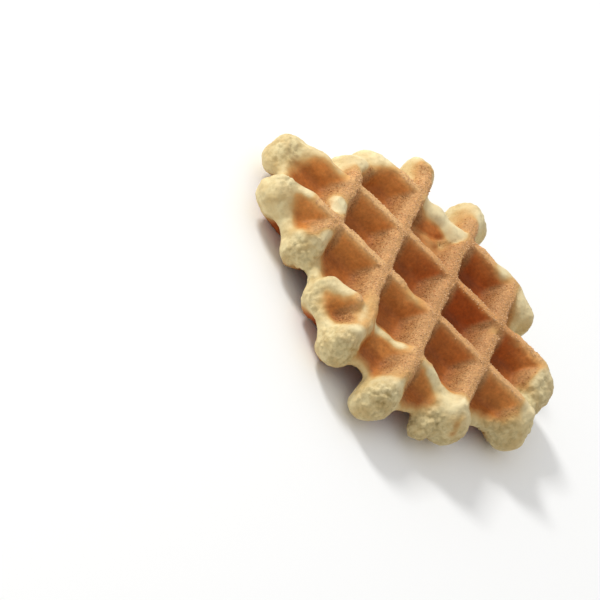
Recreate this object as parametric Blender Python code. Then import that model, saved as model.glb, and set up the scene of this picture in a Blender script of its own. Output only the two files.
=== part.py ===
"""One thick sugar waffle, lying flat as it leaves the iron.

The dough is laid out on the iron's square grid: ridges run along X and along Y, they cross a pitch
apart, and between them a thin web closes the pockets of both sides. The ridges end in round lumps
where the dough stopped flowing, and a few of them sag where it never filled the iron. Places are in
pitches from the crossing of ridge x 0 and ridge y 0, and heights in pitches from the web's middle.
"""

import math

import bmesh
import bpy
from mathutils import Matrix, Vector

PITCH = 0.020
THICKNESS = 0.018
WEB_THICKNESS = 0.0028
CREST_WIDTH = 0.0032
POCKET_FLOOR = 0.0100
PUFF = 0.0010
RIM_RADIUS = 0.0021
RIM_SIDES = 10
STATION = 0.0025
VOXEL = 0.0009
MOST_TRIANGLES = 9600
FLAT_BAND = 0.0002

# The same sizes in pitches: half heights and half widths.
TOP = THICKNESS / PITCH / 2
WEB = WEB_THICKNESS / PITCH / 2
CREST = CREST_WIDTH / PITCH / 2
FOOT = (1 - POCKET_FLOOR / PITCH) / 2

# Ridges along Y: the x of each and where its dough begins and ends.
RIDGES_Y = {0: (-2.60, -0.35), 1: (-3.60, 0.66), 2: (-3.86, 0.80), 3: (-3.12, 0.02), 4: (-2.10, -0.98)}

# Ridges along X: the y of each and where its dough begins and ends.
RIDGES_X = {0: (0.10, 3.20), -1: (-1.02, 4.08), -2: (-0.80, 3.98), -3: (0.50, 3.05)}

# Where a ridge came out of its groove changed: along which axis, on which line, at what place and
# over what half length; then how much lower, how much rounder and how far to its higher side.
CHANGES = [
    ("y", 0, -0.40, 0.35, 0.06, 0.7, 0.00),
    ("y", 0, -1.60, 0.35, 0.03, 0.8, 0.05),
    ("y", 0, -2.70, 0.85, 0.03, 1.0, 0.08),
    ("y", 1, -3.35, 1.00, 0.03, 1.0, 0.09),
    ("y", 1, 0.66, 0.35, 0.06, 0.8, 0.00),
    ("y", 2, -3.90, 0.75, 0.06, 1.0, 0.02),
    ("y", 2, 0.80, 0.45, 0.06, 0.8, 0.00),
    ("y", 4, -1.50, 0.55, 0.12, 1.0, 0.00),
    ("x", 0, 0.10, 0.45, 0.12, 1.0, 0.00),
    ("x", 0, 1.45, 0.60, 0.04, 1.5, 0.00),
    ("x", 0, 3.10, 0.45, 0.00, 0.8, 0.03),
    ("x", -1, -1.00, 0.55, 0.20, 1.0, 0.00),
    ("x", -1, 3.90, 0.45, 0.00, 0.8, 0.03),
    ("x", -2, -0.85, 0.60, 0.10, 1.0, 0.00),
    ("x", -2, 1.60, 0.35, 0.05, 0.4, 0.00),
    ("x", -2, 3.95, 0.35, 0.05, 0.8, 0.00),
    ("x", -3, 0.45, 0.45, 0.10, 1.0, 0.00),
    ("x", -3, 1.30, 0.45, 0.22, 1.0, 0.00),
    ("x", -3, 1.66, 0.32, 0.17, 0.9, 0.00),
    ("x", -3, 2.75, 0.55, 0.15, 0.9, 0.00),
]

# The lumps where dough ran out of the grooves: centre x, y and height, then radii along X, Y and Z.
LUMPS = [
    (-1.00, -1.07, -0.07, 0.32, 0.31, 0.33),
    (-0.79, -2.03, -0.01, 0.31, 0.30, 0.38),
    (0.04, -2.55, 0.00, 0.34, 0.28, 0.40),
    (0.52, -3.00, 0.00, 0.32, 0.29, 0.37),
    (1.07, -3.66, 0.00, 0.33, 0.33, 0.38),
    (1.95, -3.87, 0.00, 0.35, 0.33, 0.39),
    (2.92, -3.12, 0.00, 0.50, 0.32, 0.40),
    (3.98, -2.10, 0.00, 0.38, 0.38, 0.40),
    (4.08, -1.02, 0.00, 0.38, 0.38, 0.40),
    (4.05, -1.50, -0.04, 0.28, 0.40, 0.36),
    (3.72, -0.94, 0.10, 0.48, 0.22, 0.34),
    (3.22, -0.08, 0.00, 0.42, 0.38, 0.41),
    (2.95, 0.06, 0.08, 0.46, 0.24, 0.36),
    (2.40, 0.07, 0.10, 0.42, 0.20, 0.34),
    (2.05, 0.80, 0.00, 0.35, 0.34, 0.41),
    (0.98, 0.69, 0.00, 0.33, 0.34, 0.41),
    (0.24, -0.02, 0.00, 0.34, 0.30, 0.38),
    (0.04, -0.36, 0.00, 0.30, 0.32, 0.41),
]

# The web's outline, from the left end round by the near side.
WEB_OUTLINE = [
    (-1.00, -1.20), (-0.88, -1.55), (-0.88, -1.90), (-0.72, -2.28), (-0.52, -2.42), (-0.36, -2.60),
    (-0.15, -2.78), (0.12, -2.80), (0.26, -2.98), (0.36, -3.20), (0.50, -3.38), (0.74, -3.60),
    (1.05, -3.75), (1.32, -3.72), (1.54, -3.62), (1.72, -3.75), (1.95, -3.95), (2.22, -3.80),
    (2.48, -3.60), (2.72, -3.36), (3.05, -3.20), (3.30, -2.80), (3.55, -2.55), (3.85, -2.30),
    (4.15, -2.05), (4.25, -1.50), (4.15, -1.00), (3.70, -0.75), (3.50, -0.50), (3.35, -0.10),
    (3.00, 0.20), (2.55, 0.24), (2.22, 0.45), (2.04, 0.70), (1.82, 0.45), (1.50, 0.26),
    (1.20, 0.40), (0.98, 0.60), (0.75, 0.28), (0.40, 0.05), (0.05, -0.15), (-0.18, -0.60),
    (-0.50, -0.78),
]


def swell(distance, reach):
    """1 at no distance, easing to 0 at the reach."""
    part = min(abs(distance) / reach, 1)
    return (1 + math.cos(math.pi * part)) / 2


def wander(line, place):
    """A hand-laid ridge is never quite straight: its sideways drift at a place along it."""
    return 0.012 * math.sin(2.3 * place + 1.7 * line) + 0.006 * math.sin(6.1 * place + 0.9 * line)


def changes_at(axis, line, place):
    """How much a ridge sank, swelled and shifted at a place: the strongest change there counts."""
    found = [0.0, 0.0, 0.0]
    for where, which, middle, reach, *amounts in CHANGES:
        if (where, which) == (axis, line):
            share = swell(place - middle, reach)
            found = [max(had, amount * share) for had, amount in zip(found, amounts)]
    return found


def ridge_section(sink, puff):
    """Half of a ridge's cross-section, from the crest's middle down to the foot: (side, height)."""
    top = TOP - sink
    bulge = PUFF / PITCH * puff
    crest = CREST + bulge
    shoulder = top - bulge
    wall = ((crest + FOOT) / 2 + bulge, (shoulder + WEB) / 2)
    return [(0, top), (crest, shoulder), wall, (FOOT, WEB)]


def full_section(sink, puff):
    """The whole cross-section as a closed ring. The underside fills better, so it sinks half as far."""
    upper = ridge_section(sink, puff)
    lower = [(side, -height) for side, height in ridge_section(sink / 2, puff)]
    right = upper + lower[::-1]
    left = [(-side, height) for side, height in reversed(right[1:-1])]
    return right + left


def loft(shape, rings):
    """Skin a row of closed rings, with a cap on each end."""
    loops = [[shape.verts.new(point) for point in ring] for ring in rings]
    for near, far in zip(loops, loops[1:]):
        for index in range(len(near)):
            after = (index + 1) % len(near)
            shape.faces.new((near[index], near[after], far[after], far[index]))
    shape.faces.new(loops[0][::-1])
    shape.faces.new(loops[-1])


def add_ridge(shape, axis, line, span):
    """One ridge, section by section along its line."""
    start, end = span
    steps = round((end - start) * PITCH / STATION)
    rings = []
    for step in range(steps + 1):
        place = start + (end - start) * step / steps
        sink, puff, shift = changes_at(axis, line, place)
        drift = line + wander(line, place) + shift
        if axis == "x":
            rings.append([(place, drift + side, height) for side, height in full_section(sink, puff)])
        else:
            rings.append([(drift - side, place, height) for side, height in full_section(sink, puff)])
    loft(shape, rings)


def add_lump(shape, place, radii):
    """A ridge's round end."""
    at = Matrix.Translation(place) @ Matrix.Diagonal((*radii, 1))
    bmesh.ops.create_uvsphere(shape, u_segments=20, v_segments=12, radius=1, matrix=at)


def smooth_outline(points, parts=3):
    """A closed Catmull-Rom curve through the points."""
    curve = []
    for index in range(len(points)):
        before, start, end, after = (Vector(points[(index + step) % len(points)]) for step in (-1, 0, 1, 2))
        for part in range(parts):
            t = part / parts
            curve.append(
                0.5
                * (
                    2 * start
                    + (end - before) * t
                    + (2 * before - 5 * start + 4 * end - after) * t**2
                    + (3 * start - before - 3 * end + after) * t**3
                )
            )
    return curve


def add_web(shape):
    """The thin sheet between the pockets of the two sides."""
    outline = smooth_outline(WEB_OUTLINE)
    low = [shape.verts.new((x, y, -WEB)) for x, y in outline]
    sheet = shape.faces.new(low)
    raised = bmesh.ops.extrude_face_region(shape, geom=[sheet])["geom"]
    top = [item for item in raised if isinstance(item, bmesh.types.BMVert)]
    bmesh.ops.translate(shape, verts=top, vec=(0, 0, 2 * WEB))


def add_rim(shape):
    """The web's free edge is a fat round bead, where dough swelled beyond the iron's teeth."""
    outline = smooth_outline(WEB_OUTLINE)
    radius = RIM_RADIUS / PITCH
    loops = []
    for index, place in enumerate(outline):
        ahead = outline[(index + 1) % len(outline)] - outline[index - 1]
        inward = Vector((-ahead.y, ahead.x)).normalized()
        middle = place + inward * radius
        ring = []
        for side in range(RIM_SIDES):
            turn = math.tau * side / RIM_SIDES
            out = middle + inward * radius * math.cos(turn)
            ring.append(shape.verts.new((out.x, out.y, radius * math.sin(turn))))
        loops.append(ring)
    for index, ring in enumerate(loops):
        beyond = loops[(index + 1) % len(loops)]
        for side in range(RIM_SIDES):
            after = (side + 1) % RIM_SIDES
            shape.faces.new((ring[side], beyond[side], beyond[after], ring[after]))


def waffle_shapes():
    """Every ridge, lump and sheet of dough as overlapping closed shells, at real size."""
    shape = bmesh.new()
    for line, span in RIDGES_Y.items():
        add_ridge(shape, "y", line, span)
    for line, span in RIDGES_X.items():
        add_ridge(shape, "x", line, span)
    for x, y, height, *radii in LUMPS:
        add_lump(shape, (x, y, height), radii)
    add_web(shape)
    add_rim(shape)
    bmesh.ops.scale(shape, vec=(PITCH, PITCH, PITCH), verts=shape.verts)
    bmesh.ops.recalc_face_normals(shape, faces=shape.faces)
    mesh = bpy.data.meshes.new("waffle")
    shape.to_mesh(mesh)
    shape.free()
    return mesh


def applied(thing):
    """Replace the object's mesh by what its modifiers make of it."""
    graph = bpy.context.evaluated_depsgraph_get()
    mesh = bpy.data.meshes.new_from_object(thing.evaluated_get(graph))
    thing.modifiers.clear()
    thing.data = mesh


def fuse(thing):
    """Melt the shells into one body, and ease the seams between them."""
    melt = thing.modifiers.new("melt", "REMESH")
    melt.mode = "VOXEL"
    melt.voxel_size = VOXEL
    ease = thing.modifiers.new("ease", "SMOOTH")
    ease.factor = 0.5
    ease.iterations = 5
    applied(thing)
    triangles = sum(len(face.vertices) - 2 for face in thing.data.polygons)
    thin = thing.modifiers.new("thin", "DECIMATE")
    thin.ratio = MOST_TRIANGLES / triangles
    thin.use_collapse_triangulate = True
    applied(thing)


def set_down(thing):
    """Stand the waffle on its lowest crests, with its middle over the origin."""
    points = [vertex.co.copy() for vertex in thing.data.vertices]
    lowest = Vector(min(point[axis] for point in points) for axis in range(3))
    highest = Vector(max(point[axis] for point in points) for axis in range(3))
    for vertex in thing.data.vertices:
        if vertex.co.z < lowest.z + FLAT_BAND:
            vertex.co.z = lowest.z
    middle = (lowest + highest) / 2
    thing.data.transform(Matrix.Translation((-middle.x, -middle.y, -lowest.z)))


def baked_dough():
    """Baked dough: golden brown, matt."""
    material = bpy.data.materials.new("baked dough")
    material.use_nodes = True
    shader = material.node_tree.nodes["Principled BSDF"]
    shader.inputs["Base Color"].default_value = (0.46, 0.20, 0.065, 1)
    shader.inputs["Roughness"].default_value = 0.75
    shader.inputs["Metallic"].default_value = 0
    return material


def build():
    for thing in list(bpy.data.objects):
        bpy.data.objects.remove(thing)
    waffle = bpy.data.objects.new("waffle", waffle_shapes())
    bpy.context.scene.collection.objects.link(waffle)
    fuse(waffle)
    set_down(waffle)
    waffle.data.name = "waffle"
    waffle.data.materials.clear()
    waffle.data.materials.append(baked_dough())


build()
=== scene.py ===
"""The looks of one thick sugar waffle that lies flat on a pale table.

The dough is built as it was baked: bars for the ridges, lumps where they ran out, a web with a
rolled rim between the pockets. All of it is melted into one skin, which is then browned where the
iron held it and left pale where the dough was free. Places are in pitches of the iron's grid,
from the crossing of the two ridges numbered 0, and heights in pitches from the web's middle.
"""

import math

import bpy
import numpy as np
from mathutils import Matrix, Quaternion, Vector


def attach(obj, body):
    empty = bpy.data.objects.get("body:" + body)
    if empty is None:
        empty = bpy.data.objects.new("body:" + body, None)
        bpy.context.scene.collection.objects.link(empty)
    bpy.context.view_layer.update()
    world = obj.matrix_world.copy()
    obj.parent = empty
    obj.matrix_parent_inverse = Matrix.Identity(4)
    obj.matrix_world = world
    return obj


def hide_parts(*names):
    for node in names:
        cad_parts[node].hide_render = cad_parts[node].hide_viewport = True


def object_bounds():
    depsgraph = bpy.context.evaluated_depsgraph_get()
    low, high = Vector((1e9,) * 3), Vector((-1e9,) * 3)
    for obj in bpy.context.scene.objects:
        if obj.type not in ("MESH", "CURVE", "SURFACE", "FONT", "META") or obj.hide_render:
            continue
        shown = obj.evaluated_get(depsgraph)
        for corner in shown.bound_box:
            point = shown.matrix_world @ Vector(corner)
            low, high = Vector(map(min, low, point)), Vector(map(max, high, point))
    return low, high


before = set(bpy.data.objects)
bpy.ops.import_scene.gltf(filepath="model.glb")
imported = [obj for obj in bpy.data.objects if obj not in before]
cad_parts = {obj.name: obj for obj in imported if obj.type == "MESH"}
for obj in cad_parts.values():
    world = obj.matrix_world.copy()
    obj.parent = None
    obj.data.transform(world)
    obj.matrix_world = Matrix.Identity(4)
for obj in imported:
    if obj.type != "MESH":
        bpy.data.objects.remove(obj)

CAD_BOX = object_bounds()

# The iron's grid: its pitch in metres, then in pitches the height of a crest, half the web's
# thickness, and the place that comes to lie at the origin.
PITCH = 0.020
TOP = 0.45
WEB = 0.07
MIDDLE = (1.5746, -1.5281)

# Half widths across a ridge, and how far its crest leans: for the ridges along Y, then along X.
CREST = (0.055, 0.058)
FOOT = (0.24, 0.26)
LEAN = (0.05, 0.0)

# A ridge's shape is set at stations this far apart. Where the iron let go of it, its walls swell by
# the puff, more so halfway up, and its crest's edges drop by a multiple of that.
STATION = 0.125
PUFF = 0.05
HALFWAY_SWELL = 1.6
EDGE_DROP = 1.4

# A lump's unevenness, as a share of its radii, and how far it is drawn toward a block. The rim's
# bead hangs lower by this share of its thickness past the thinnest.
UNEVEN = 0.08
BLOCKY = 0.12
SAG = 0.6

# The melted skin: the step of its mesh in metres, and the rounds of smoothing that take off the
# steps, round off the free dough and round out the pockets.
VOXEL = 0.0006
STEP_ROUNDING = 2
FREE_ROUNDING = 60
POCKET_ROUNDING = 30

# A gap measured straight up off a ridge's wall counts this much, because the wall is steep. Dough
# with less of a gap than the first of the next two follows the iron, and with more than the second
# it is free.
ACROSS_WALL = 0.41
HELD = 0.025
FREE = 0.07

# Where the iron was hottest, how far out the crust is as deep a brown, and where that ends.
HOTTEST = (2.6, -0.9)
HOT_REACH = (0.4, 2.1)

# The dough that filled one pocket like a pillow: its middle, how far out it stayed smooth, and
# where it is as loose as the rest.
PILLOW = (1.5, -0.2, 0.2)
PILLOW_REACH = (0.35, 0.75)

# A crack this deep is painted olive shade all through, and crumbled dough takes this share of that painted
# shade.
SHADE_DEPTH = 0.03
CRUMB_SHADE = 0.4

# The share of its reach out to which a patch, or a crumbled place, is at its full amount.
PATCH_CORE = 0.3
CRUMBLED_CORE = 0.5

# A point with less than this share is left out of a vertex group.
LEAST_SHARE = 0.01

# Loose crumbs: the radius of the largest in metres, and how many there are.
CRUMB = 0.00024
CRUMB_COUNT = 7000

# The key light stands this many metres off in this direction, and the sky is brightest this way.
KEY_FROM = (-0.77, 0.31, 0.56)
KEY_DISTANCE = 1.2
BRIGHT_SKY = (-0.50, 0.45, 0.74)

# The camera's place and what it looks at, in pitches, and how far it is turned about its own axis.
CAMERA_PLACE = (-12.430, -47.727, 32.180)
CAMERA_AIM = (0.233, -3.451, 0.0)
CAMERA_ROLL = math.radians(53.1)

# Ridges along Y: the x of each and where its dough begins and ends.
RIDGES_Y = {
    0: (-2.60, -0.35), 1: (-3.60, 0.66), 2: (-3.86, 0.76), 3: (-3.12, 0.02), 4: (-1.90, -0.98),
}

# Ridges along X: the y of each and where its dough begins and ends.
RIDGES_X = {0: (0.10, 3.20), -1: (-1.02, 4.08), -2: (-0.80, 4.19), -3: (0.50, 3.05)}

# Where a ridge came out of its groove changed: along which axis, on which line, at what place and
# over what half length; then how much lower, how much rounder and how far to its higher side.
CHANGES = [
    ("y", 0, -0.42, 0.50, 0.06, 0.5, -0.09),
    ("y", 0, -1.60, 0.40, 0.03, 0.6, -0.04),
    ("y", 0, -2.70, 0.85, 0.04, 0.8, -0.14),
    ("y", 1, -3.15, 0.65, 0.02, 0.7, 0.11),
    ("y", 1, -3.85, 0.60, 0.03, 0.9, 0.00),
    ("y", 1, -0.62, 0.35, 0.00, 0.0, -0.02),
    ("y", 1, 0.66, 0.35, 0.06, 0.8, 0.00),
    ("y", 2, -3.90, 0.75, 0.06, 1.0, -0.09),
    ("y", 2, -0.50, 0.60, 0.00, 0.0, -0.045),
    ("y", 2, 0.76, 0.45, 0.06, 0.8, 0.03),
    ("y", 3, -1.14, 0.20, 0.10, 0.2, 0.00),
    ("y", 4, -1.70, 0.70, 0.24, 1.0, 0.08),
    ("x", 0, 0.10, 0.45, 0.12, 1.0, 0.00),
    ("x", 0, 1.45, 0.60, 0.04, 1.5, 0.00),
    ("x", 0, 3.10, 0.45, 0.00, 0.8, 0.03),
    ("x", -1, -1.00, 0.55, 0.20, 1.0, 0.00),
    ("x", -1, -0.35, 0.50, 0.06, 0.3, 0.00),
    ("x", -1, 3.80, 0.75, 0.00, 0.4, 0.06),
    ("x", -2, -0.85, 0.50, 0.10, 0.5, 0.00),
    ("x", -2, 1.60, 0.35, 0.05, 0.4, 0.00),
    ("x", -2, 4.15, 0.30, 0.02, 0.2, 0.00),
    ("x", -3, 0.45, 0.45, 0.10, 1.0, 0.00),
    ("x", -3, 1.30, 0.45, 0.22, 1.0, 0.00),
    ("x", -3, 1.66, 0.32, 0.17, 0.9, 0.00),
    ("x", -3, 2.75, 0.55, 0.15, 0.9, 0.00),
]

# The lumps where dough ran out of the grooves: centre x, y and height, then radii along X, Y and Z.
LUMPS = [
    (-0.98, -1.12, -0.05, 0.31, 0.36, 0.33),
    (-0.80, -2.02, 0.03, 0.32, 0.27, 0.39),
    (-0.48, -1.98, 0.06, 0.42, 0.19, 0.34),
    (-0.08, -2.48, -0.03, 0.27, 0.28, 0.38),
    (-0.17, -2.64, -0.06, 0.20, 0.17, 0.26),
    (0.54, -3.01, -0.01, 0.32, 0.21, 0.37),
    (1.04, -3.58, -0.02, 0.31, 0.38, 0.38),
    (1.90, -3.90, -0.04, 0.34, 0.36, 0.38),
    (2.98, -3.12, -0.03, 0.50, 0.36, 0.40),
    (3.08, -3.08, 0.06, 0.30, 0.30, 0.37),
    (2.80, -3.46, -0.12, 0.20, 0.22, 0.24),
    (4.02, -2.10, -0.06, 0.39, 0.34, 0.39),
    (4.06, -1.05, 0.00, 0.37, 0.32, 0.44),
    (4.07, -1.14, -0.01, 0.40, 0.46, 0.43),
    (3.62, -0.91, 0.10, 0.52, 0.20, 0.34),
    (3.16, -0.08, 0.00, 0.44, 0.38, 0.42),
    (3.44, -0.16, 0.01, 0.27, 0.22, 0.36),
    (2.90, 0.06, 0.08, 0.48, 0.24, 0.37),
    (2.40, 0.07, 0.10, 0.42, 0.20, 0.34),
    (2.07, 0.76, 0.00, 0.36, 0.34, 0.42),
    (0.98, 0.67, 0.00, 0.33, 0.34, 0.42),
    (0.24, -0.02, 0.00, 0.34, 0.30, 0.38),
    (0.04, -0.38, 0.00, 0.30, 0.34, 0.42),
    (1.46, -0.04, 0.13, 0.42, 0.25, 0.30),
    (-0.03, -1.68, 0.31, 0.14, 0.25, 0.15),
    (1.50, -0.52, 0.00, 0.40, 0.34, 0.20),
]

# The web's rim, from the left end round by the near side: x, y, how thick it is rolled there, and
# how far in from it the dough stayed pale.
RIM = [
    (-1.02, -1.25, 0.16, 0.04), (-0.92, -1.55, 0.14, 0.04), (-0.90, -1.90, 0.14, 0.04),
    (-0.74, -2.26, 0.14, 0.14), (-0.54, -2.42, 0.15, 0.16), (-0.36, -2.60, 0.16, 0.18),
    (-0.15, -2.78, 0.15, 0.12), (0.12, -2.80, 0.12, 0.06), (0.26, -2.98, 0.12, 0.06),
    (0.36, -3.20, 0.13, 0.06), (0.50, -3.38, 0.14, 0.10), (0.74, -3.60, 0.14, 0.14),
    (1.05, -3.75, 0.14, 0.08), (1.32, -3.72, 0.11, 0.06), (1.54, -3.62, 0.10, 0.04),
    (1.72, -3.75, 0.10, 0.04), (1.95, -3.95, 0.10, 0.04), (2.22, -3.80, 0.10, 0.03),
    (2.48, -3.60, 0.10, 0.03), (2.72, -3.36, 0.10, 0.04), (3.05, -3.20, 0.12, 0.06),
    (3.22, -2.90, 0.14, 0.10), (3.50, -2.70, 0.15, 0.10), (3.82, -2.50, 0.17, 0.10),
    (4.06, -2.20, 0.18, 0.10), (4.04, -1.66, 0.17, 0.30), (4.16, -1.00, 0.16, 0.20),
    (3.70, -0.75, 0.15, 0.12), (3.50, -0.50, 0.15, 0.12), (3.35, -0.10, 0.15, 0.16),
    (3.00, 0.20, 0.15, 0.14), (2.55, 0.24, 0.15, 0.14), (2.22, 0.45, 0.15, 0.12),
    (2.04, 0.70, 0.15, 0.12), (1.82, 0.45, 0.15, 0.12), (1.50, 0.26, 0.15, 0.14),
    (1.20, 0.40, 0.15, 0.12), (0.98, 0.60, 0.15, 0.12), (0.75, 0.28, 0.15, 0.12),
    (0.40, 0.05, 0.15, 0.14), (0.05, -0.15, 0.15, 0.12), (-0.18, -0.60, 0.16, 0.12),
    (-0.50, -0.78, 0.16, 0.10),
]

# Patches that browned more (above 0) or less (below 0) than the rest, two of them painted shade: centre x,
# y and height, reach and amount.
PATCHES = [
    (0.01, -1.64, 0.37, 0.18, -1.3),
    (-0.02, -1.80, 0.40, 0.15, -1.1),
    (-0.76, -1.97, 0.42, 0.21, -1.1),
    (-0.54, -1.96, 0.43, 0.17, -0.9),
    (-0.06, -0.36, 0.42, 0.26, -0.7),
    (0.09, -2.46, 0.40, 0.24, -1.2),
    (0.14, -2.64, 0.30, 0.36, -1.3),
    (0.50, -2.96, 0.36, 0.26, -1.2),
    (0.74, -2.95, 0.34, 0.15, -1.0),
    (1.12, -3.68, 0.34, 0.32, -1.3),
    (0.84, -3.42, 0.26, 0.28, 0.6),
    (0.54, -3.20, 0.14, 0.34, 0.6),
    (0.86, -3.48, 0.22, 0.26, -0.6),
    (0.62, -3.10, 0.30, 0.24, -0.3),
    (0.76, -3.24, 0.13, 0.14, -0.3),
    (-0.12, -2.20, 0.34, 0.18, 0.6),
    (-0.20, -2.44, 0.32, 0.22, 0.7),
    (-0.28, -2.34, 0.14, 0.24, 0.7),
    (-0.66, -2.14, 0.22, 0.42, 0.5),
    (-0.90, -2.16, 0.24, 0.60, -0.4),
    (-0.44, -2.16, 0.18, 0.34, -0.25),
    (-0.98, -1.20, 0.20, 0.46, -0.4),
    (0.28, -3.20, 0.15, 0.60, -0.6),
    (1.60, -0.50, 0.17, 0.34, -0.3),
    (1.34, -0.42, 0.19, 0.24, -0.15),
    (0.02, -2.74, 0.22, 0.32, -1.2),
    (0.98, -3.78, 0.22, 0.34, -1.2),
    (1.95, -3.84, 0.20, 0.34, -0.8),
    (1.70, -3.66, 0.20, 0.24, 0.7),
    (3.10, -3.22, 0.30, 0.10, 0.6),
    (3.14, -3.32, 0.22, 0.10, 0.6),
    (3.20, -3.38, 0.10, 0.10, 0.6),
    (1.16, -0.04, 0.38, 0.16, -0.7),
    (1.40, 0.04, 0.42, 0.30, -1.3),
    (1.62, 0.02, 0.42, 0.30, -1.4),
    (1.82, 0.00, 0.38, 0.26, -1.4),
    (1.24, -0.30, 0.25, 0.24, 0.1),
    (1.34, -0.15, 0.32, 0.16, -0.4),
    (1.52, -0.24, 0.26, 0.24, 0.15),
    (1.80, -0.12, 0.32, 0.16, -0.9),
    (1.76, -0.30, 0.20, 0.16, -0.35),
    (0.98, 0.60, 0.42, 0.26, 0.5),
    (0.86, 0.50, 0.38, 0.32, 0.5),
    (1.86, 0.54, 0.28, 0.32, 0.5),
    (2.14, 0.68, 0.36, 0.26, -0.6),
    (2.75, 0.06, 0.42, 0.26, -1.0),
    (3.20, -0.10, 0.42, 0.22, -0.6),
    (1.31, -3.02, 0.26, 0.12, -1.0),
    (1.40, -3.00, 0.27, 0.16, -1.0),
    (1.55, -2.98, 0.29, 0.15, -1.0),
    (1.72, -2.98, 0.33, 0.15, -1.0),
    (2.20, -3.05, 0.42, 0.12, -0.7),
    (2.36, -3.04, 0.38, 0.14, -0.9),
    (2.52, -3.04, 0.34, 0.17, -1.0),
    (2.70, -3.05, 0.31, 0.25, -1.1),
    (2.88, -3.16, 0.40, 0.30, -1.4),
    (4.14, -1.24, 0.30, 0.34, -1.0),
    (4.02, -1.75, 0.25, 0.36, -1.3),
    (4.04, -2.00, 0.45, 0.26, -0.8),
    (3.70, -1.00, 0.36, 0.28, 0.6),
    (3.74, -1.22, 0.24, 0.30, 1.0),
    # These two tint the lower wall at the right end golden: painted shade.
    (4.02, -1.40, 0.28, 0.30, 0.3),
    (3.90, -1.54, 0.18, 0.28, 0.5),
]

# Cracks in the dry skin: how deep and how wide, then the points each runs through. A fold stands
# up instead, so its depth is below 0.
CRACKS = [
    (0.020, 0.05, (1.17, -3.63, 0.30), (1.25, -3.75, 0.11), (1.26, -3.78, 0.03)),
    (0.028, 0.05, (2.01, -3.98, 0.28), (1.92, -4.02, 0.27), (1.93, -4.07, 0.22), (1.90, -4.14, 0.15)),
    (0.022, 0.05, (1.92, -4.08, 0.21), (1.99, -4.13, 0.17), (2.03, -4.03, 0.22)),
    (0.022, 0.05, (2.63, -3.54, -0.03), (2.75, -3.56, 0.04), (2.84, -3.55, 0.04), (2.93, -3.45, 0.10)),
    (0.016, 0.05, (2.93, -3.45, 0.10), (3.03, -3.41, 0.15), (3.10, -3.40, 0.10)),
    (0.025, 0.07, (3.09, -3.20, 0.32), (3.13, -3.29, 0.25), (3.18, -3.36, 0.14)),
    (0.014, 0.05, (3.62, -2.58, 0.05), (3.76, -2.50, 0.01), (3.83, -2.41, 0.06), (3.98, -2.38, 0.06)),
    (0.012, 0.05, (3.98, -2.38, 0.06), (4.03, -2.30, 0.17), (4.03, -2.18, 0.24)),
    (0.020, 0.06, (4.02, -1.13, 0.43), (4.13, -1.20, 0.38), (4.16, -1.37, 0.33)),
    (0.024, 0.08, (1.30, -0.36, 0.19), (1.42, -0.38, 0.20), (1.58, -0.33, 0.20), (1.70, -0.24, 0.22)),
    (
        -0.035, 0.10, (1.27, -0.46, 0.16), (1.40, -0.50, 0.18), (1.58, -0.45, 0.18),
        (1.73, -0.33, 0.20), (1.84, -0.16, 0.32),
    ),
]

# Where the free dough crumbled: centre x, y and height, reach and how much.
CRUMBLED = [
    (-1.10, -1.20, 0.16, 0.38, 0.7),
    (-0.86, -1.98, 0.34, 0.24, 0.9),
    (0.00, -2.74, 0.08, 0.46, 0.8),
    (0.45, -3.26, 0.14, 0.36, 0.7),
    (1.04, -3.82, 0.12, 0.46, 0.9),
    (1.92, -4.08, 0.12, 0.48, 0.9),
    (2.82, -3.52, 0.00, 0.42, 1.0),
    (3.16, -3.32, 0.00, 0.34, 0.7),
    (3.85, -2.42, 0.00, 0.46, 1.0),
    (4.14, -2.06, 0.10, 0.32, 0.7),
    (4.10, -1.36, 0.22, 0.46, 0.7),
    (2.10, 0.92, 0.20, 0.40, 0.4),
]


# ---- hands: small helpers for selecting and applying

def deselect():
    bpy.ops.object.select_all(action="DESELECT")


def work_on(*things):
    """Select these objects alone; the first is the active one."""
    deselect()
    for thing in things:
        thing.select_set(True)
    bpy.context.view_layer.objects.active = things[0]


def edit(kind="VERT"):
    """Go into edit mode, to pick points, edges or faces."""
    bpy.ops.object.mode_set(mode="EDIT")
    bpy.ops.mesh.select_mode(type=kind)


def leave_edit():
    bpy.ops.object.mode_set(mode="OBJECT")


def settle():
    """Put the object's place, turn and size into its mesh."""
    bpy.ops.object.transform_apply(location=True, rotation=True, scale=True)


def add_modifier(thing, kind, **settings):
    """Add a modifier and apply it at once."""
    work_on(thing)
    bpy.ops.object.modifier_add(type=kind)
    modifier = thing.modifiers[-1]
    for name, value in settings.items():
        setattr(modifier, name, value)
    bpy.ops.object.modifier_apply(modifier=modifier.name)


def swell(distance, reach):
    """1 at no distance, easing to 0 at the reach."""
    part = min(abs(distance) / reach, 1)
    return (1 + math.cos(math.pi * part)) / 2


def ease(value, low, high):
    """0 below low and 1 above high, with a smooth step between. Takes arrays too."""
    part = np.clip((value - low) / (high - low), 0, 1)
    return part * part * (3 - 2 * part)


# ---- ridges

def wander(line, place):
    """A ridge is never quite straight: its sideways drift at a place along it."""
    slow = 0.012 * math.sin(2.3 * place + 1.7 * line) + 0.006 * math.sin(6.1 * place + 0.9 * line)
    return slow + 0.009 * math.sin(13.7 * place + 2.1 * line)


def changes_at(axis, line, place):
    """How much a ridge sank, swelled and shifted at a place: the strongest change there counts."""
    found = [0.0, 0.0, 0.0]
    for where, which, middle, reach, *amounts in CHANGES:
        if (where, which) == (axis, line):
            share = swell(place - middle, reach)
            found = [max(had, amount * share, key=abs) for had, amount in zip(found, amounts)]
    return found


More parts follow.
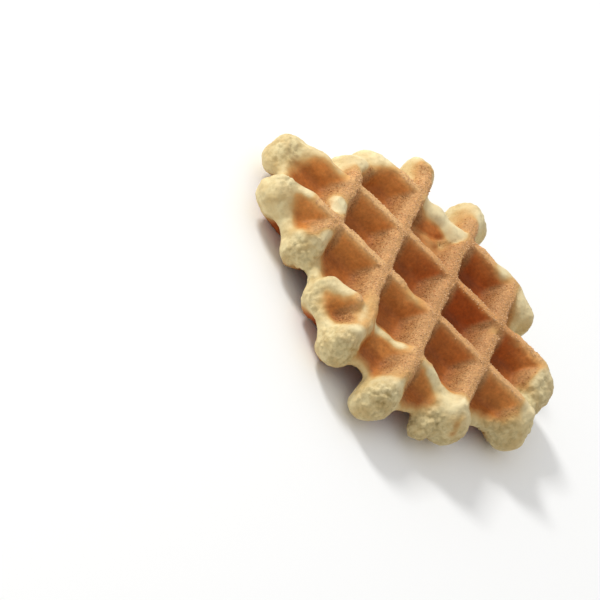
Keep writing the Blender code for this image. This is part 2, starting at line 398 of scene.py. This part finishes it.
def cut_bar(axis, line, span):
    """A square bar, cut into stations along its length and into rows up its walls."""
    start, end = span
    length = end - start
    middle = (start + end) / 2
    along, side_axis = (0, 1) if axis == "x" else (1, 0)
    width = 2 * FOOT[side_axis]
    place = (middle, line, 0) if axis == "x" else (line, middle, 0)
    size = (length, width, 2 * TOP) if axis == "x" else (width, length, 2 * TOP)
    deselect()
    bpy.ops.mesh.primitive_cube_add(size=1, location=place, scale=size)
    settle()
    bar = bpy.context.object
    # The edges that run its whole length are the ones cut into stations.
    corners = bar.data.vertices
    for edge in bar.data.edges:
        near, far = (corners[index].co for index in edge.vertices)
        edge.select = abs(near[along] - far[along]) > length / 2
    for face in bar.data.polygons:
        face.select = False
    edit("EDGE")
    bpy.ops.mesh.subdivide(number_cuts=round(length / STATION))
    halfway = (WEB + TOP) / 2
    for height in (-halfway, -WEB, WEB, halfway):
        bpy.ops.mesh.select_all(action="SELECT")
        bpy.ops.mesh.bisect(plane_co=(0, 0, height), plane_no=(0, 0, 1))
    # A cut along the middle gives the crest a line that stays higher than its edges.
    across = (0, 1, 0) if axis == "x" else (1, 0, 0)
    bpy.ops.mesh.select_all(action="SELECT")
    bpy.ops.mesh.bisect(plane_co=place, plane_no=across)
    leave_edit()
    return bar


def shape_bar(bar, axis, line):
    """Draw the bar's walls in to its two crests, and let it sag, swell and drift along its way."""
    along, side_axis = (0, 1) if axis == "x" else (1, 0)
    for vertex in bar.data.vertices:
        place = vertex.co[along]
        side = vertex.co[side_axis] - line
        sink, puff, shift = changes_at(axis, line, place)
        rise = max(0, abs(vertex.co.z) - WEB) / (TOP - WEB)
        if vertex.co.z < 0:
            # The side that lies down sank half as much.
            sink /= 2
        top = TOP - sink
        bulge = PUFF * puff
        height = WEB + rise * (top - WEB)
        if side and rise:
            half = FOOT[side_axis] + (CREST[side_axis] - FOOT[side_axis]) * rise
            half += bulge * (1 + HALFWAY_SWELL * math.sin(math.pi * rise))
            side = math.copysign(half, side)
            height -= EDGE_DROP * bulge * rise
        if abs(vertex.co.z) > WEB:
            vertex.co.z = math.copysign(height, vertex.co.z)
        vertex.co[side_axis] = line + side + LEAN[side_axis] * rise + wander(line, place) + shift


def ridges():
    """All nine ridges, each its own bar."""
    made = []
    for axis, lines in (("y", RIDGES_Y), ("x", RIDGES_X)):
        for line, span in lines.items():
            bar = cut_bar(axis, line, span)
            shape_bar(bar, axis, line)
            made.append(bar)
    return made


# ---- free dough

def lump(number, place, radii):
    """A round end of a ridge, a little blocky and uneven, as dough is."""
    deselect()
    bpy.ops.mesh.primitive_ico_sphere_add(subdivisions=2, radius=1, location=place, scale=radii)
    made = bpy.context.object
    edit()
    bpy.ops.mesh.select_all(action="SELECT")
    bpy.ops.transform.vertex_random(offset=UNEVEN, uniform=0.5, normal=0.5, seed=number)
    leave_edit()
    add_modifier(made, "CAST", cast_type="CUBOID", factor=BLOCKY)
    add_modifier(made, "SUBSURF", levels=2, render_levels=2)
    settle()
    return made


def lumps():
    """Every lump, each with its own unevenness."""
    return [lump(number, row[:3], row[3:]) for number, row in enumerate(LUMPS)]


def smooth_loop(points, parts=3):
    """A closed Catmull-Rom curve through the points."""
    curve = []
    count = len(points)
    for index in range(count):
        nearby = [points[(index + step) % count] for step in (-1, 0, 1, 2)]
        before, start, end, after = (Vector(point) for point in nearby)
        for part in range(parts):
            t = part / parts
            bend = 2 * before - 5 * start + 4 * end - after
            twist = 3 * start - before - 3 * end + after
            curve.append((2 * start + (end - before) * t + bend * t**2 + twist * t**3) / 2)
    return curve


def web():
    """The thin sheet between the pockets: its outline is drawn point by point, filled and raised.

    The first point is a plane shrunk to its middle, and each next one is drawn out of the last.
    """
    outline = smooth_loop(RIM)
    deselect()
    bpy.ops.mesh.primitive_plane_add(size=0.1, location=(outline[0].x, outline[0].y, -WEB))
    settle()
    sheet = bpy.context.object
    edit()
    bpy.ops.mesh.select_all(action="SELECT")
    bpy.ops.mesh.merge(type="CENTER")
    for near, far in zip(outline, outline[1:]):
        step = far - near
        bpy.ops.mesh.extrude_vertices_move(TRANSFORM_OT_translate={"value": (step.x, step.y, 0)})
    bpy.ops.mesh.select_all(action="SELECT")
    bpy.ops.mesh.edge_face_add()
    bpy.ops.mesh.extrude_region_move(TRANSFORM_OT_translate={"value": (0, 0, 2 * WEB)})
    bpy.ops.mesh.select_all(action="SELECT")
    bpy.ops.mesh.normals_make_consistent(inside=False)
    leave_edit()
    return sheet


def rim():
    """The web's free edge, rolled into a soft bead that hangs lower where it is thicker."""
    outline = smooth_loop(RIM)
    thinnest = min(row[2] for row in RIM)
    line = bpy.data.curves.new("rim", "CURVE")
    line.dimensions = "3D"
    spline = line.splines.new("POLY")
    spline.points.add(len(outline) - 1)
    spline.use_cyclic_u = True
    for index, place in enumerate(outline):
        ahead = outline[(index + 1) % len(outline)] - outline[index - 1]
        inward = Vector((-ahead.y, ahead.x)).normalized() * place.z
        sag = SAG * (place.z - thinnest)
        spline.points[index].co = (place.x + inward.x, place.y + inward.y, -sag, 1)
        spline.points[index].radius = place.z
    line.bevel_depth = 1
    line.bevel_resolution = 3
    bead = bpy.data.objects.new("rim", line)
    bpy.context.collection.objects.link(bead)
    work_on(bead)
    bpy.ops.object.convert(target="MESH")
    return bpy.context.object


# ---- the skin

def melt(parts):
    """Join the shapes, bring them to real size and melt them into one skin."""
    work_on(*parts)
    bpy.ops.object.join()
    dough = bpy.context.object
    dough.name = "waffle_dough"
    edit()
    bpy.ops.mesh.select_all(action="SELECT")
    bpy.ops.mesh.normals_make_consistent(inside=False)
    leave_edit()
    dough.location = (-MIDDLE[0] * PITCH, -MIDDLE[1] * PITCH, TOP * PITCH)
    dough.scale = (PITCH, PITCH, PITCH)
    settle()
    add_modifier(dough, "REMESH", mode="VOXEL", voxel_size=VOXEL, use_smooth_shade=True)
    add_modifier(dough, "SMOOTH", factor=0.5, iterations=STEP_ROUNDING)
    return dough


def weigh(thing, name, shares):
    """A vertex group with each point's share, without the points that have next to none."""
    group = thing.vertex_groups.new(name=name)
    for index, share in enumerate(shares):
        if share > LEAST_SHARE:
            group.add([index], float(share), "REPLACE")


def roughen(thing, name, size, strength, kind="CLOUDS", **settings):
    """Raise and sink the skin by about half the strength, in clumps of this size, both in metres."""
    texture = bpy.data.textures.new(name, kind)
    texture.noise_scale = size
    settings = {"texture": texture, "texture_coords": "LOCAL", "strength": strength, **settings}
    add_modifier(thing, "DISPLACE", **settings)


def finish_skin(dough):
    """Round off the free dough, crack, pit and roughen the skin, and keep it within the solid's size.

    Only loose dough is lumpy and gritty. The pillow in its pocket is free too, but smooth. The
    crests and the walls that face along X are coarse.
    """
    free = spread(dough.data, 1 - held_by_iron(dough.data), rounds=4)
    from_pillow = np.linalg.norm(grid_places(dough.data) - PILLOW, axis=1)
    weigh(dough, "free", free)
    loose = free * ease(from_pillow, *PILLOW_REACH)
    weigh(dough, "loose", loose)
    write_attribute(dough.data, "rough", loose)
    weigh(dough, "crumbly", loose * crumbled(dough.data))
    add_modifier(dough, "SMOOTH", factor=0.5, iterations=FREE_ROUNDING, vertex_group="free")
    depth = np.abs(grid_places(dough.data)[:, 2])
    weigh(dough, "pockets", 1 - ease(depth, 0.40 * TOP, 0.65 * TOP))
    add_modifier(dough, "SMOOTH", factor=0.5, iterations=POCKET_ROUNDING, vertex_group="pockets")
    crack(dough)
    roughen(dough, "uneven", size=0.0060, strength=0.0006)
    roughen(dough, "lumpy", size=0.0030, strength=0.0005, vertex_group="loose")
    pits = {"kind": "VORONOI", "mid_level": 0.35, "vertex_group": "crumbly"}
    roughen(dough, "crumbly", size=0.0015, strength=-0.0013, **pits)
    roughen(dough, "gritty", size=0.0010, strength=0.0003, vertex_group="loose")
    pressed = patched(dough.data, spread(dough.data, held_by_iron(dough.data), rounds=2))
    crest = ease(np.abs(grid_places(dough.data)[:, 2]), 0.86 * TOP, 0.97 * TOP)
    coarse = np.maximum(sandy_zone(dough.data, pressed, room=0.08), 0.8 * crest * pressed)
    weigh(dough, "coarse", coarse)
    roughen(dough, "coarse", size=0.0007, strength=0.0008, vertex_group="coarse")
    keep_within(dough, room=CRUMB / 2)


def crumbled(mesh):
    """How much the dough crumbled at each point."""
    places = grid_places(mesh)
    shares = np.zeros(len(places))
    for x, y, z, reach, amount in CRUMBLED:
        distance = np.linalg.norm(places - (x, y, z), axis=1)
        share = amount * (1 - ease(distance, CRUMBLED_CORE * reach, reach))
        shares = np.maximum(shares, share)
    return shares


def crack(dough):
    """Push the skin in along each crack and raise it along each fold."""
    places = grid_places(dough.data)
    depths = np.zeros(len(places))
    for depth, width, *line in CRACKS:
        distance = np.full(len(places), np.inf)
        for start, end in zip(line, line[1:]):
            step = np.subtract(end, start)
            part = np.clip((places - start) @ step / (step @ step), 0, 1)
            closest = np.array(start) + part[:, None] * step
            distance = np.minimum(distance, np.linalg.norm(places - closest, axis=1))
        here = depth * (1 - ease(distance, 0, width))
        depths = np.where(np.abs(here) > np.abs(depths), here, depths)
    for index in np.nonzero(depths)[0]:
        vertex = dough.data.vertices[index]
        vertex.co -= vertex.normal * float(depths[index] * PITCH)
    # Painted shade: the deeper the crack, the more olive it is painted; crumbled dough is painted a little
    # olive too.
    painted_shade = np.clip(depths / SHADE_DEPTH, 0, 1)
    write_attribute(dough.data, "painted_shade", np.maximum(painted_shade, CRUMB_SHADE * crumbled(dough.data)))


def keep_within(dough, room=0.0):
    """Hold every point inside the solid's own size, less some room at the top."""
    low, high = (np.array(corner) for corner in CAD_BOX)
    high[2] -= room
    places = np.empty(len(dough.data.vertices) * 3)
    dough.data.vertices.foreach_get("co", places)
    places = np.clip(places.reshape(-1, 3), low, high)
    dough.data.vertices.foreach_set("co", places.ravel())
    dough.data.update()


def grid_places(mesh):
    """The skin's points in pitches."""
    places = np.empty(len(mesh.vertices) * 3)
    mesh.vertices.foreach_get("co", places)
    places = places.reshape(-1, 3) / PITCH
    return places + (MIDDLE[0], MIDDLE[1], -TOP)


def from_rim(places, share=1.0):
    """How far inside the rim each point lies, less a share of the width that stayed pale there.

    A point is within where a line from it along X crosses the rim an odd number of times.
    """
    outline = np.array(smooth_loop(RIM))
    nearest = np.full(len(places), np.inf)
    within = np.zeros(len(places), dtype=bool)
    pale = np.zeros(len(places))
    x, y = places[:, 0], places[:, 1]
    for start, end in zip(outline, np.roll(outline, -1, axis=0)):
        step = end[:2] - start[:2]
        part = np.clip(((x - start[0]) * step[0] + (y - start[1]) * step[1]) / (step @ step), 0, 1)
        distance = np.hypot(x - start[0] - part * step[0], y - start[1] - part * step[1])
        closer = distance < nearest
        nearest[closer] = distance[closer]
        pale[closer] = (start[3] + part * (end[3] - start[3]))[closer]
        crossing = start[0] + (y - start[1]) / (step[1] or 1e-9) * step[0]
        within ^= ((start[1] > y) != (end[1] > y)) & (x < crossing)
    return np.where(within, nearest, -nearest) - share * pale


def browned(mesh):
    """Where the crust browned: where the iron held it, and down in the pockets near it."""
    places = grid_places(mesh)
    low = 1 - ease(np.abs(places[:, 2]), 0.25, 0.36)
    return np.maximum(held_by_iron(mesh), low * ease(from_rim(places), -0.03, 0.09))


def aside(places):
    """How far each point lies from the nearest ridge along Y, and from the nearest along X."""
    height = np.clip((np.abs(places[:, 2]) - WEB) / (TOP - WEB), 0, 1)
    return np.abs(places[:, :2] - height[:, None] * LEAN - np.round(places[:, :2]))


def held_by_iron(mesh):
    """How closely each point follows the iron: 1 where it was pressed, 0 where the dough was free.

    A crest was pressed nearly out to the rim, so most of the pale width isn't counted there.
    """
    places = grid_places(mesh)
    rise = np.clip((FOOT - aside(places)) / np.subtract(FOOT, CREST), 0, 1).max(axis=1)
    gap = np.abs(np.abs(places[:, 2]) - (WEB + rise * (TOP - WEB)))
    on_wall = (rise > 0.02) & (rise < 0.98)
    gap = np.where(on_wall, gap * ACROSS_WALL, gap)
    crest = ease(np.abs(places[:, 2]), 0.6 * TOP, 0.95 * TOP)
    inside = ease(from_rim(places, share=1 - 0.7 * crest), -0.05, 0.07)
    return (1 - ease(gap, HELD, FREE)) * inside


def sandy_zone(mesh, pressed, room=0.0):
    """Crests and the walls that face along X are given the coarse, sandy crust, the others the smooth one.

    The room is kept clear along the valleys. At the left end the walls came out smooth too.
    """
    places = grid_places(mesh)
    crest = ease(np.abs(places[:, 2]), 0.88 * TOP, 0.98 * TOP)
    across, along = aside(places).T
    wall = ease(along - across, room - 0.10, room - 0.02)
    wall *= 1 - ease(across, FOOT[0] - room, FOOT[0] + 0.09 - room)
    wall *= ease(places[:, 0], -0.45, -0.35)
    return pressed * np.maximum(0.25 * crest, wall)


def write_attribute(mesh, name, values):
    """Keep a number for each point, for the crust to read."""
    attribute = mesh.attributes.new(name, "FLOAT", "POINT")
    attribute.data.foreach_set("value", np.asarray(values, dtype=np.float32))


def spread(mesh, values, rounds):
    """Blur values over the skin, each point with its neighbours."""
    ends = np.empty(len(mesh.edges) * 2, dtype=np.int64)
    mesh.edges.foreach_get("vertices", ends)
    near, far = ends[0::2], ends[1::2]
    count = np.bincount(ends, minlength=len(values)) + 1
    for _ in range(rounds):
        total = values.copy()
        total += np.bincount(near, weights=values[far], minlength=len(values))
        total += np.bincount(far, weights=values[near], minlength=len(values))
        values = total / count
    return values


def patched(mesh, pressed):
    """How brown each point is, once the patches have browned more or less than the rest."""
    places = grid_places(mesh)
    for x, y, z, reach, amount in PATCHES:
        distance = np.linalg.norm(places - (x, y, z), axis=1)
        pressed = pressed + amount * (1 - ease(distance, PATCH_CORE * reach, reach))
    return spread(mesh, np.clip(pressed, 0, 1), rounds=3)


def mark(dough):
    """Write down, point by point, how the skin was baked, and where crumbs stick to it.

    The underside counts as hot and as lower than it is, so it comes out an even, deep brown: browned, and
    darker still as painted shade under the waffle. Fewer crumbs stick to it.
    """
    mesh = dough.data
    places = grid_places(mesh)
    height = np.abs(places[:, 2]) / TOP
    underneath = places[:, 2] < 0
    pressed = patched(mesh, spread(mesh, browned(mesh), rounds=18))
    sandy = spread(mesh, sandy_zone(mesh, pressed), rounds=1)
    write_attribute(mesh, "pressed", pressed)
    write_attribute(mesh, "sandy", sandy)
    # Painted shade: the underside reads as lower, so it takes the darker colours of the ramps.
    write_attribute(mesh, "height", np.where(underneath, 0.6 * height, height))
    from_hottest = np.linalg.norm(places[:, :2] - HOTTEST, axis=1)
    baked = (1 - ease(from_hottest, *HOT_REACH)) * ease(from_rim(places), -0.1, 0.4)
    # Painted shade: the underside reads as hottest, so it comes out deep brown.
    write_attribute(mesh, "baked", np.where(underneath, 1, baked))
    crest = ease(height, 0.90, 0.99)
    crumbed = np.maximum(sandy_zone(mesh, pressed, room=0.06), crest) * ease(pressed, 0.6, 0.95)
    crumbed *= np.where(underneath, 0.3, 1)
    weigh(dough, "crumbed", crumbed)


# ---- crumbs

def crumbs(dough):
    """Loose sandy crumbs of the crust, stuck on the crests and the coarse walls."""
    deselect()
    bpy.ops.mesh.primitive_ico_sphere_add(subdivisions=1, radius=CRUMB)
    made = bpy.context.object
    made.name = "crust_crumbs"
    edit()
    bpy.ops.mesh.select_all(action="SELECT")
    bpy.ops.transform.vertex_random(offset=0.4 * CRUMB, uniform=0.5, normal=0.5, seed=5)
    leave_edit()
    work_on(dough)
    bpy.ops.object.particle_system_add()
    system = dough.particle_systems[-1]
    system.seed = 3
    system.vertex_group_density = "crumbed"
    rule = system.settings
    rule.type = "HAIR"
    rule.count = CRUMB_COUNT
    rule.hair_length = 0.00002
    rule.particle_size = 1.0
    rule.size_random = 0.6
    rule.use_advanced_hair = True
    rule.use_rotations = True
    rule.rotation_factor_random = 1.0
    rule.phase_factor_random = 2.0
    settings = {"object": dough, "space": "WORLD", "use_size": True, "use_path": False}
    add_modifier(made, "PARTICLE_INSTANCE", **settings)
    work_on(dough)
    bpy.ops.object.particle_system_remove()
    keep_within(made)
    return made


# ---- materials

# Input numbers. Map Range: its value, the range it comes from and the range it goes to. Mix: its
# share, then the two numbers or the two colours that it mixes. A Math node's are 0, 1 and 2.
VALUE, FROM_LOW, FROM_HIGH, TO_LOW, TO_HIGH = range(5)
SHARE, NUMBER_A, NUMBER_B, COLOUR_A, COLOUR_B = 0, 2, 3, 6, 7

# Mix nodes that mix or multiply colours: their kind, and the number of their colour result.
MIX = {"data_type": "RGBA", "out": 2}
MULTIPLY = {"blend_type": "MULTIPLY", **MIX}


def colour(code):
    """An sRGB hex value as linear RGBA."""
    parts = [int(code[at : at + 2], 16) / 255 for at in (0, 2, 4)]
    linear = [part / 12.92 if part < 0.04045 else ((part + 0.055) / 1.055) ** 2.4 for part in parts]
    return (*linear, 1)


def node(tree, kind, links=None, stops=None, out=0, **settings):
    """Add a node and give back one output.

    The links map its inputs to other nodes' outputs or to values, and the stops are a colour ramp's.
    """
    made = tree.nodes.new(kind)
    for name, value in settings.items():
        setattr(made, name, value)
    for name, source in (links or {}).items():
        if isinstance(source, bpy.types.NodeSocket):
            tree.links.new(source, made.inputs[name])
        else:
            made.inputs[name].default_value = source
    for index, (position, code) in enumerate((stops or {}).items()):
        elements = made.color_ramp.elements
        stop = elements[index] if index < 2 else elements.new(position)
        stop.position = position
        stop.color = colour(code)
    return made.outputs[out]


def new_material(name):
    """A material, its node tree and its shader."""
    material = bpy.data.materials.new(name)
    material.use_nodes = True
    return material, material.node_tree, material.node_tree.nodes["Principled BSDF"]


def cover(thing, material):
    """Give a piece this material alone."""
    thing.data.materials.clear()
    thing.data.materials.append(material)


def waffle_crust():
    """Baked sugar dough: brown where the hot iron pressed it, pale where it was free, dull all over."""
    material, tree, shader = new_material("baked sugar dough")
    place = node(tree, "ShaderNodeTexCoord", out="Object")
    names = ("pressed", "sandy", "height", "baked", "painted_shade", "rough")
    written = [node(tree, "ShaderNodeAttribute", out="Fac", attribute_name=name) for name in names]
    pressed, sandy, height, baked, painted_shade, rough = written

    # Smooth crust is darkest down in the pockets, partly deeper browning and partly painted shade, and a
    # deeper brown where the iron was hottest. Toward the crests it turns paler, partly the crest's own
    # colour and partly a painted highlight on the rounded tops.
    mild = {0.17: "AA6229", 0.34: "C07A39", 0.60: "D08640", 0.77: "DA8E48", 0.89: "ECAC64", 0.98: "ECBC80"}
    mild = node(tree, "ShaderNodeValToRGB", {"Fac": height}, stops=mild)
    hot = {0.17: "904415", 0.34: "B05419", 0.82: "B0561A", 0.93: "C47434", 0.99: "D89C60"}
    hot = node(tree, "ShaderNodeValToRGB", {"Fac": height}, stops=hot)
    smooth = node(tree, "ShaderNodeMix", {SHARE: baked, COLOUR_A: mild, COLOUR_B: hot}, **MIX)

    # Coarse crust is a lighter, sandy tan, palest just below the crests.
    mild = {0.17: "B06E3A", 0.40: "B98049", 0.58: "BE8A54", 0.80: "D5A56E", 1.00: "D29E66"}
    mild = node(tree, "ShaderNodeValToRGB", {"Fac": height}, stops=mild)
    hot = {0.17: "9E5E2E", 0.40: "AC7240", 0.58: "B27E4C", 0.80: "CE9C68", 1.00: "C8925C"}
    hot = node(tree, "ShaderNodeValToRGB", {"Fac": height}, stops=hot)
    coarse = node(tree, "ShaderNodeMix", {SHARE: baked, COLOUR_A: mild, COLOUR_B: hot}, **MIX)
    brown = node(tree, "ShaderNodeMix", {SHARE: sandy, COLOUR_A: smooth, COLOUR_B: coarse}, **MIX)

    # The brown is mottled every 3 mm and specked every 0.9 mm; the sandy crust has 0.6 mm grains.
    clumps = node(tree, "ShaderNodeTexNoise", {"Vector": place, "Scale": 1 / 0.0030, "Detail": 3.0})
    mottle = {VALUE: clumps, FROM_LOW: 0.35, FROM_HIGH: 0.65, TO_LOW: 0.84, TO_HIGH: 1.0}
    mottle = node(tree, "ShaderNodeMapRange", mottle)
    clumps = node(tree, "ShaderNodeTexNoise", {"Vector": place, "Scale": 1 / 0.0009, "Detail": 2.0})
    specks = {VALUE: clumps, FROM_LOW: 0.32, FROM_HIGH: 0.72, TO_LOW: 0.86, TO_HIGH: 1.14}
    specks = node(tree, "ShaderNodeMapRange", specks)
    sand = node(tree, "ShaderNodeTexNoise", {"Vector": place, "Scale": 1 / 0.0006, "Detail": 3.0})
    grains = {VALUE: sand, FROM_LOW: 0.38, FROM_HIGH: 0.66, TO_LOW: 0.86, TO_HIGH: 1.12}
    grains = node(tree, "ShaderNodeMapRange", grains)
    shade = node(tree, "ShaderNodeMath", {0: mottle, 1: specks}, operation="MULTIPLY")
    both = node(tree, "ShaderNodeMath", {0: shade, 1: grains}, operation="MULTIPLY")
    shade = node(tree, "ShaderNodeMix", {SHARE: sandy, NUMBER_A: shade, NUMBER_B: both})
    brown = node(tree, "ShaderNodeMix", {SHARE: 1.0, COLOUR_A: brown, COLOUR_B: shade}, **MULTIPLY)

    # Free dough is cream, clouded every 4.5 mm and dimmer in 1.4 mm spots. Toward its top it is painted a
    # whiter cream, a painted highlight, and down in its cracks and where it crumbled it is painted olive,
    # a painted shade.
    clumps = node(tree, "ShaderNodeTexNoise", {"Vector": place, "Scale": 1 / 0.0045, "Detail": 3.0})
    pale = node(tree, "ShaderNodeValToRGB", {"Fac": clumps}, stops={0.34: "CEB47E", 0.62: "E4D2A0"})
    # Painted highlight: the higher the point, the more of a whiter cream is mixed in.
    painted_highlight = {VALUE: height, FROM_LOW: 0.45, FROM_HIGH: 0.95, TO_LOW: 0.0, TO_HIGH: 0.35}
    painted_highlight = node(tree, "ShaderNodeMapRange", painted_highlight)
    highlight_cream = colour("F7E9C2")
    pale = node(tree, "ShaderNodeMix", {SHARE: painted_highlight, COLOUR_A: pale, COLOUR_B: highlight_cream}, **MIX)
    clumps = node(tree, "ShaderNodeTexNoise", {"Vector": place, "Scale": 1 / 0.0014, "Detail": 4.0})
    shade = {VALUE: clumps, FROM_LOW: 0.32, FROM_HIGH: 0.50, TO_LOW: 0.89, TO_HIGH: 1.0}
    shade = node(tree, "ShaderNodeMapRange", shade)
    pale = node(tree, "ShaderNodeMix", {SHARE: 1.0, COLOUR_A: pale, COLOUR_B: shade}, **MULTIPLY)
    # Painted shade: olive mixed into the cracks and crumbled spots, more of it in the dimmer clumps.
    shade_share = {VALUE: clumps, FROM_LOW: 0.40, FROM_HIGH: 0.58, TO_LOW: 1.0, TO_HIGH: 0.3}
    shade_share = node(tree, "ShaderNodeMapRange", shade_share)
    shade_share = node(tree, "ShaderNodeMath", {0: painted_shade, 1: shade_share}, operation="MULTIPLY")
    shade_olive = colour("94804C")
    pale = node(tree, "ShaderNodeMix", {SHARE: shade_share, COLOUR_A: pale, COLOUR_B: shade_olive}, **MIX)

    # Between the two lies a golden edge that wavers every 2.5 mm.
    clumps = node(tree, "ShaderNodeTexNoise", {"Vector": place, "Scale": 1 / 0.0025, "Detail": 3.0})
    uneven = node(tree, "ShaderNodeMath", {0: clumps, 1: 0.4, 2: pressed}, operation="MULTIPLY_ADD")
    share = node(tree, "ShaderNodeMapRange", {VALUE: uneven, FROM_LOW: 0.20, FROM_HIGH: 0.80})
    golden = colour("CCA364")
    golden = node(tree, "ShaderNodeMix", {SHARE: share, COLOUR_A: pale, COLOUR_B: golden}, **MIX)
    share = node(tree, "ShaderNodeMapRange", {VALUE: uneven, FROM_LOW: 0.55, FROM_HIGH: 1.15})
    crust = node(tree, "ShaderNodeMix", {SHARE: share, COLOUR_A: golden, COLOUR_B: brown}, **MIX)
    tree.links.new(crust, shader.inputs["Base Color"])
    shader.inputs["Roughness"].default_value = 0.55
    shader.inputs["Specular IOR Level"].default_value = 0.2

    # Fine relief: sandy grains on the coarse crust, and a soft crumb that is plainest on loose dough.
    strength = node(tree, "ShaderNodeMath", {0: rough, 1: 0.9, 2: 0.15}, operation="MULTIPLY_ADD")
    crumb = node(tree, "ShaderNodeMath", {0: clumps, 1: strength}, operation="MULTIPLY")
    relief = node(tree, "ShaderNodeMath", {0: sand, 1: sandy, 2: crumb}, operation="MULTIPLY_ADD")
    bump = node(tree, "ShaderNodeBump", {"Height": relief, "Strength": 0.9, "Distance": 0.0006})
    tree.links.new(bump, shader.inputs["Normal"])
    return material


def crumb_crust():
    """Sugary crumbs of the crust: brown low down, paler toward the crests, and duller than it is."""
    material, tree, shader = new_material("sugary crumbs")
    place = node(tree, "ShaderNodeTexCoord", out="Object")
    height = node(tree, "ShaderNodeSeparateXYZ", {"Vector": place}, out="Z")
    level = {VALUE: height, FROM_LOW: TOP * PITCH, FROM_HIGH: 2 * TOP * PITCH}
    level = node(tree, "ShaderNodeMapRange", level)
    tints = {0.17: "9A582A", 0.50: "AE763E", 0.80: "CF9B66", 1.00: "D8AC7E"}
    tint = node(tree, "ShaderNodeValToRGB", {"Fac": level}, stops=tints)
    tree.links.new(tint, shader.inputs["Base Color"])
    shader.inputs["Roughness"].default_value = 0.7
    return material


# ---- table, lights and camera

def table():
    """A plain table top: near-white laminate with a soft, dull sheen.

    It lies a hair below the waffle, so that the two don't share a face.
    """
    deselect()
    bpy.ops.mesh.primitive_plane_add(size=6, location=(0, 0, -0.0001))
    top = bpy.context.object
    top.name = "table"
    laminate, _, shader = new_material("white laminate")
    shader.inputs["Base Color"].default_value = colour("FAFAF9")
    shader.inputs["Roughness"].default_value = 0.6
    cover(top, laminate)
    return top


def lights():
    """A sky that is brightest on one side, and a small square key light that throws the shadow."""
    world = bpy.data.worlds.new("studio")
    bpy.context.scene.world = world
    world.use_nodes = True
    tree = world.node_tree
    toward = node(tree, "ShaderNodeTexCoord", out="Generated")
    measure = {"operation": "DOT_PRODUCT", "out": "Value"}
    facing = node(tree, "ShaderNodeVectorMath", {0: toward, 1: BRIGHT_SKY}, **measure)
    shade = {VALUE: facing, FROM_LOW: -1.0, TO_LOW: 0.24, TO_HIGH: 0.88}
    shade = node(tree, "ShaderNodeMapRange", shade)
    tree.links.new(shade, tree.nodes["Background"].inputs["Strength"])
    tree.nodes["Background"].inputs["Color"].default_value = (1, 1, 1, 1)
    away = Vector(KEY_FROM) * KEY_DISTANCE
    bpy.ops.object.light_add(type="AREA", location=away)
    key = bpy.context.object
    key.data.energy = 9.5
    key.data.size = 0.22
    key.rotation_mode = "QUATERNION"
    key.rotation_quaternion = away.to_track_quat("Z", "Y")


def on_table(place):
    """A place given in pitches, in metres on the table."""
    x, y, z = place
    return Vector((x - MIDDLE[0], y - MIDDLE[1], z + TOP)) * PITCH


def camera():
    """A long lens from in front, a little to the left and above, turned about its own axis."""
    bpy.ops.object.camera_add(location=on_table(CAMERA_PLACE))
    eye = bpy.context.object
    eye.rotation_mode = "QUATERNION"
    aim = on_table(CAMERA_AIM) - eye.location
    eye.rotation_quaternion = aim.to_track_quat("-Z", "Y") @ Quaternion((0, 0, 1), CAMERA_ROLL)
    eye.data.sensor_width = 36
    eye.data.lens = 240
    eye.data.clip_start = 0.05
    eye.data.clip_end = 20
    bpy.context.scene.camera = eye


def main():
    """Build the scene."""
    camera()
    lights()
    table()
    dough = melt([*ridges(), *lumps(), web(), rim()])
    finish_skin(dough)
    mark(dough)
    cover(dough, waffle_crust())
    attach(dough, "root")
    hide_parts("waffle")
    loose = crumbs(dough)
    cover(loose, crumb_crust())
    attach(loose, "root")
    bpy.context.scene.view_settings.view_transform = "Standard"


main()
